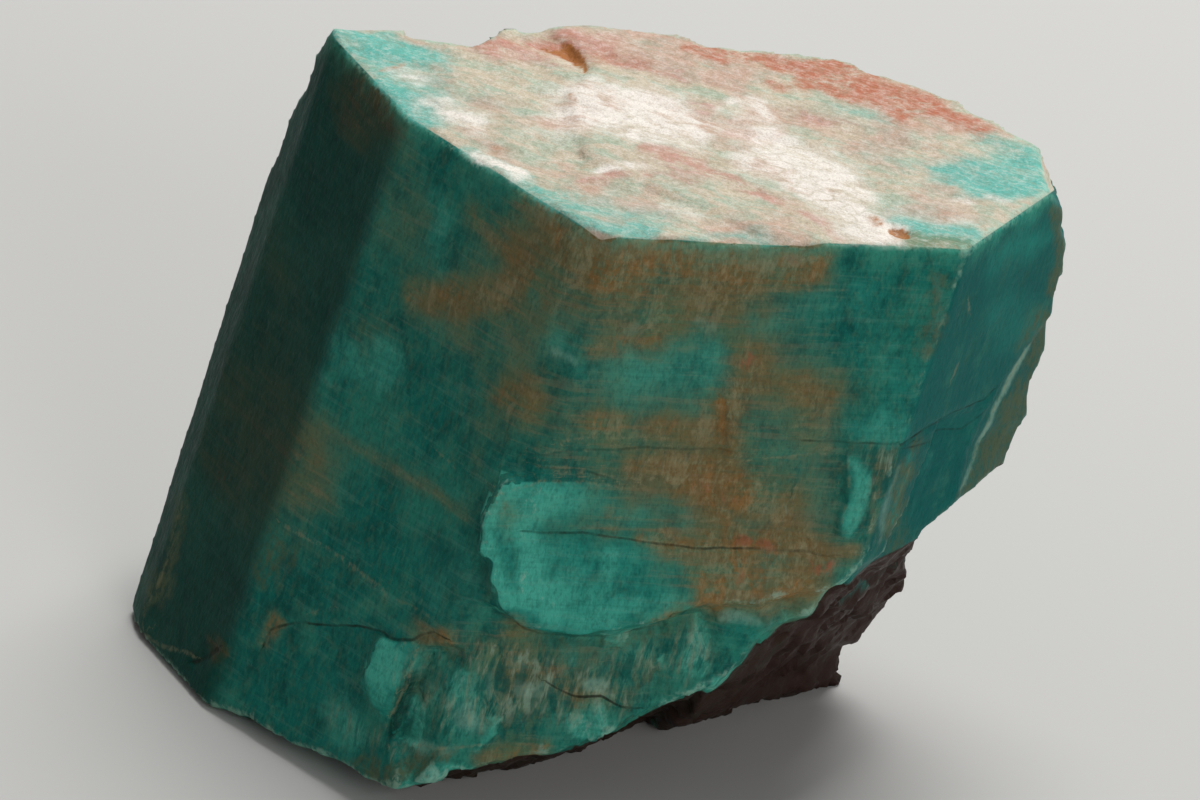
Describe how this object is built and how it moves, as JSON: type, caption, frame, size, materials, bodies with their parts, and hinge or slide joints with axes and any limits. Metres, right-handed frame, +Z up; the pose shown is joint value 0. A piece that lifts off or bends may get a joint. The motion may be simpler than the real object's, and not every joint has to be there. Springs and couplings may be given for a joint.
{
  "type": "rough amazonite",
  "caption": "Broken blocky prism of green feldspar with a level cleaved top, flat front faces, flaked lower front, and rough back and foot.",
  "frame": {"origin": "centre of the bounding box at the level of the flat resting spot under the foot", "axes": "+X along the longest side of the cleaved top, +Y towards the rough back, +Z up out of the cleaved top"},
  "size_m": [0.0902, 0.0612, 0.0538],
  "materials": {
    "amazonite": "blue-green feldspar, waxy on the flat faces, pearly and pale on the cleaved top, with pink and rust-brown stains"
  },
  "bodies": {
    "root": {"amazonite_crystal": "amazonite"}
  },
  "joints": []
}
